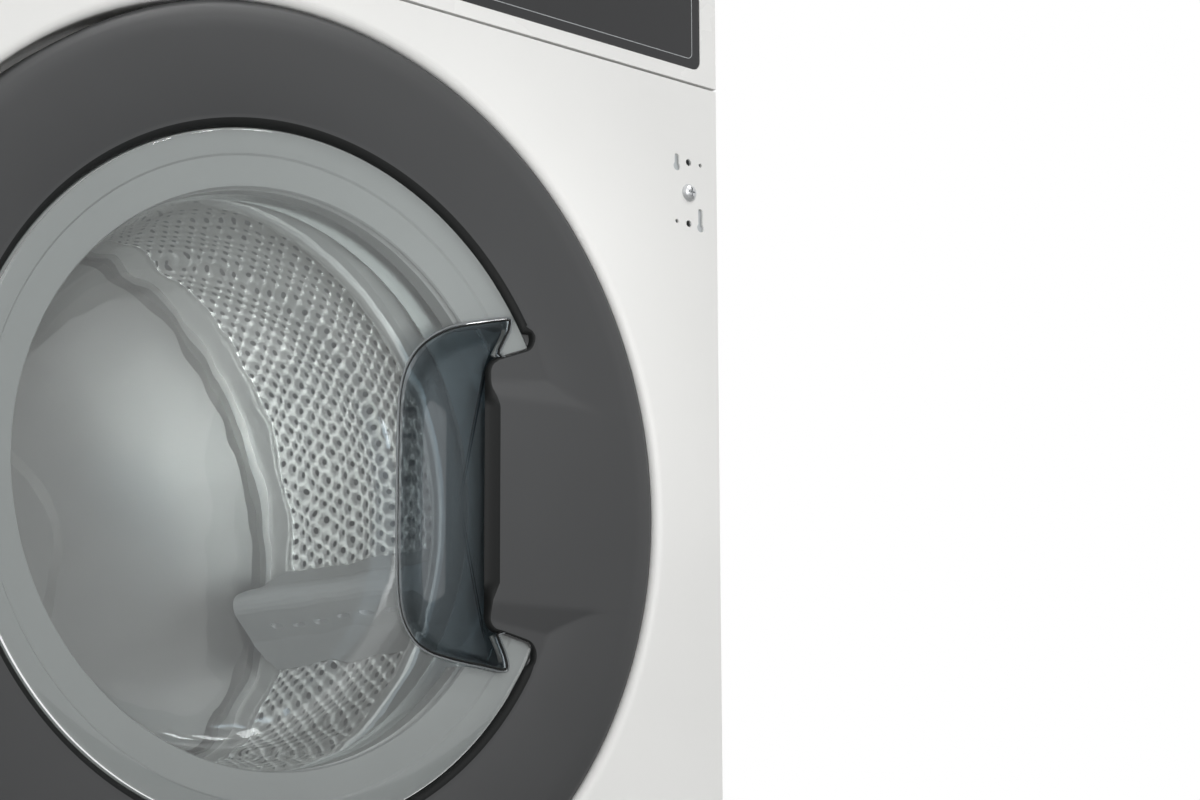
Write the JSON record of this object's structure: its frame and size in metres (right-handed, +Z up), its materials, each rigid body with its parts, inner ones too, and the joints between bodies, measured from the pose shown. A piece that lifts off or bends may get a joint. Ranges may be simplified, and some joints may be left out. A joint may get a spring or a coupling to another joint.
{
  "type": "integrated washer dryer",
  "caption": "Built-in front-loading washer dryer with a dished round glazed door, detergent drawer, dark control panel and a sprung drum unit.",
  "frame": {"origin": "centre of the footprint on the floor", "axes": "+Z up, the front faces -Y, +X to the right seen from the front"},
  "size_m": [0.595, 0.554, 0.818],
  "materials": {
    "white_panel": "satin white powder coat",
    "white_fascia": "semi-gloss white moulding",
    "zinc_sheet": "zinc-plated sheet",
    "dark_insert": "gloss black panel",
    "circuit_board": "green solder mask",
    "light_plastic": "satin light grey moulding",
    "drawer_plastic": "translucent white moulding",
    "ring_plastic": "satin dark grey moulding",
    "clear_cover": "clear moulded cover",
    "smoked_clear": "smoked clear moulding",
    "frame_plastic": "grey moulding",
    "bowl_glass": "pressed glass",
    "steel": "bright steel",
    "stainless_drum": "pressed stainless steel",
    "grey_rubber": "grey moulded rubber",
    "tub_plastic": "glass-filled light grey moulding",
    "concrete": "cast concrete",
    "cast_aluminium": "as cast",
    "black_rubber": "black rubber",
    "dark_plastic": "black moulding",
    "motor_steel": "grey painted stator"
  },
  "bodies": {
    "cabinet": {"side_left": "zinc_sheet", "side_right": "zinc_sheet", "rear_panel": "zinc_sheet", "access_cover": "zinc_sheet", "base_tray": "zinc_sheet", "top_plate": "zinc_sheet", "front_panel": "white_panel", "plinth_panel": "zinc_sheet", "top_braces": "zinc_sheet", "control_fascia": "white_fascia", "control_insert": "dark_insert", "control_board": "circuit_board", "drawer_housing": "drawer_plastic", "inlet_valve": "drawer_plastic", "hinge_base": "cast_aluminium", "door_lock": "dark_plastic", "gasket_clamp": "steel", "damper_cylinders": "dark_plastic", "drain_pump": "light_plastic", "panel_screws": "steel"},
    "tub": {"tub_front": "tub_plastic", "tub_rear": "tub_plastic", "front_weights": "concrete", "top_weight": "concrete", "bearings": "steel", "belt": "black_rubber", "motor": "motor_steel", "wash_heater": "steel", "dry_duct": "cast_aluminium", "damper_rods": "steel", "gasket": "grey_rubber", "springs": "steel", "tub_hoses": "black_rubber"},
    "drum": {"drum_shell": "stainless_drum", "drum_front": "stainless_drum", "drum_back": "stainless_drum", "lifters": "light_plastic", "drum_shaft": "cast_aluminium", "drum_pulley": "cast_aluminium"},
    "motor_rotor": {"motor_rotor": "steel"},
    "dry_fan": {"dry_fan": "dark_plastic"},
    "door": {"door_ring": "ring_plastic", "door_cover": "clear_cover", "finger_pocket": "smoked_clear", "door_frame": "frame_plastic", "door_bowl": "bowl_glass", "hinge_arm": "cast_aluminium", "door_pins": "steel"},
    "latch": {"latch_hook": "steel"},
    "drawer": {"drawer_front": "white_fascia", "drawer_tray": "drawer_plastic"},
    "knob": {"program_knob": "light_plastic"},
    "on_off_button": {"on_off_button": "light_plastic"},
    "start_button": {"start_button": "light_plastic"},
    "pump_rotor": {"pump_rotor": "dark_plastic"},
    "filter": {"filter_cap": "dark_plastic"},
    "foot_front_left": {"foot_front_left": "dark_plastic"},
    "foot_front_right": {"foot_front_right": "dark_plastic"},
    "foot_back_left": {"foot_back_left": "dark_plastic"},
    "foot_back_right": {"foot_back_right": "dark_plastic"}
  },
  "joints": [
    {"name": "door_hinge", "type": "hinge", "parent": "cabinet", "child": "door", "pos_m": [-0.225, -0.2584, 0.4328], "axis": [0, 0, -1], "range_deg": [0, 105]},
    {"name": "latch_pivot", "type": "hinge", "parent": "door", "child": "latch", "pos_m": [0.22, -0.2375, 0.4328], "axis": [0, 0, 1], "range_deg": [0, 10], "stiffness_Nm_per_rad": 0.05, "springref_deg": -20.05},
    {"name": "drawer_slide", "type": "slide", "parent": "cabinet", "child": "drawer", "axis": [0, -1, 0], "range_m": [0, 0.17]},
    {"name": "knob_turn", "type": "hinge", "parent": "cabinet", "child": "knob", "pos_m": [-0.0567, -0.263, 0.759], "axis": [0, 1, 0], "continuous": true},
    {"name": "on_off_press", "type": "slide", "parent": "cabinet", "child": "on_off_button", "axis": [0, 1, 0], "range_m": [0, 0.0015], "stiffness_N_per_m": 700, "springref_m": -0.001},
    {"name": "start_press", "type": "slide", "parent": "cabinet", "child": "start_button", "axis": [0, 1, 0], "range_m": [0, 0.0015], "stiffness_N_per_m": 700, "springref_m": -0.001},
    {"name": "tub_suspension", "type": "slide", "parent": "cabinet", "child": "tub", "axis": [0, 0, 1], "range_m": [-0.008, 0.008], "stiffness_N_per_m": 32000, "springref_m": 0.0116, "deforming": ["springs", "gasket", "tub_hoses"]},
    {"name": "drum_spin", "type": "hinge", "parent": "tub", "child": "drum", "pos_m": [0, 0.037, 0.4328], "axis": [0, 1, 0], "continuous": true},
    {"name": "motor_spin", "type": "hinge", "parent": "tub", "child": "motor_rotor", "pos_m": [0.085, 0.137, 0.105], "axis": [0, 1, 0], "continuous": true},
    {"name": "fan_spin", "type": "hinge", "parent": "tub", "child": "dry_fan", "pos_m": [0.11, 0.088, 0.738], "axis": [0, 0, 1], "continuous": true},
    {"name": "pump_spin", "type": "hinge", "parent": "cabinet", "child": "pump_rotor", "pos_m": [0.15, -0.1215, 0.062], "axis": [0, 1, 0], "continuous": true},
    {"name": "filter_pull", "type": "slide", "parent": "cabinet", "child": "filter", "axis": [0, -1, 0], "range_m": [0, 0.1]},
    {"name": "foot_front_left_height", "type": "slide", "parent": "cabinet", "child": "foot_front_left", "axis": [0, 0, -1], "range_m": [0, 0.055]},
    {"name": "foot_back_left_height", "type": "slide", "parent": "cabinet", "child": "foot_back_left", "axis": [0, 0, -1], "range_m": [0, 0.055]},
    {"name": "foot_front_right_height", "type": "slide", "parent": "cabinet", "child": "foot_front_right", "axis": [0, 0, -1], "range_m": [0, 0.055]},
    {"name": "foot_back_right_height", "type": "slide", "parent": "cabinet", "child": "foot_back_right", "axis": [0, 0, -1], "range_m": [0, 0.055]}
  ],
  "couplings": [
    {"joint": "motor_spin", "follows": "drum_spin", "ratio": 12.727}
  ]
}
